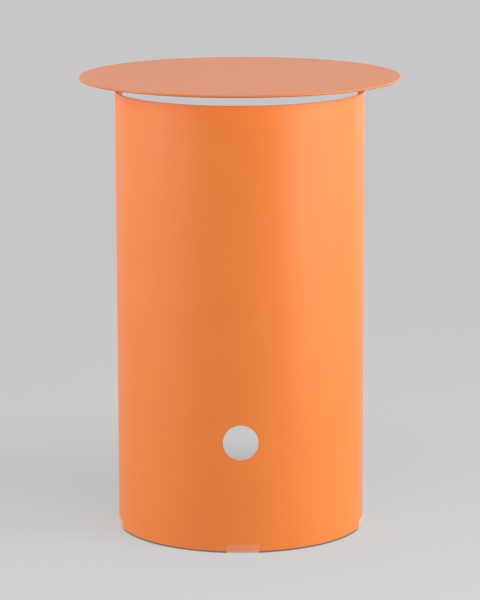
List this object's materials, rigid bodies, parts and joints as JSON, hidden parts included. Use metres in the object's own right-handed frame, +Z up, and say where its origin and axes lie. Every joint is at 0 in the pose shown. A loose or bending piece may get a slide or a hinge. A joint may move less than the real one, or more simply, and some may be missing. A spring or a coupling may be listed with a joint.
{
  "type": "side table",
  "caption": "Round sheet-steel side table: a thin disc top on a rolled drum that is open at the back, with a slit under the top and a cable hole low in front.",
  "frame": {"origin": "on the floor, under the centre of the round top", "axes": "+Z up, -Y towards the closed front with the cable hole, +X to the right as seen from the front"},
  "size_m": [0.35, 0.35, 0.5],
  "materials": {
    "powder_coat": "satin orange powder coat with a fine orange-peel texture",
    "clear_glide": "clear flexible plastic, slightly milky",
    "zinc_steel": "bright zinc plating",
    "stud_steel": "thin copper flash on steel, left bare where the coating was masked"
  },
  "bodies": {
    "root": {"table_top": "powder_coat", "drum": "powder_coat", "top_studs": "stud_steel", "washers": "zinc_steel", "nuts": "zinc_steel", "glide_front": "clear_glide", "glide_right": "clear_glide", "glide_left": "clear_glide"}
  },
  "joints": []
}
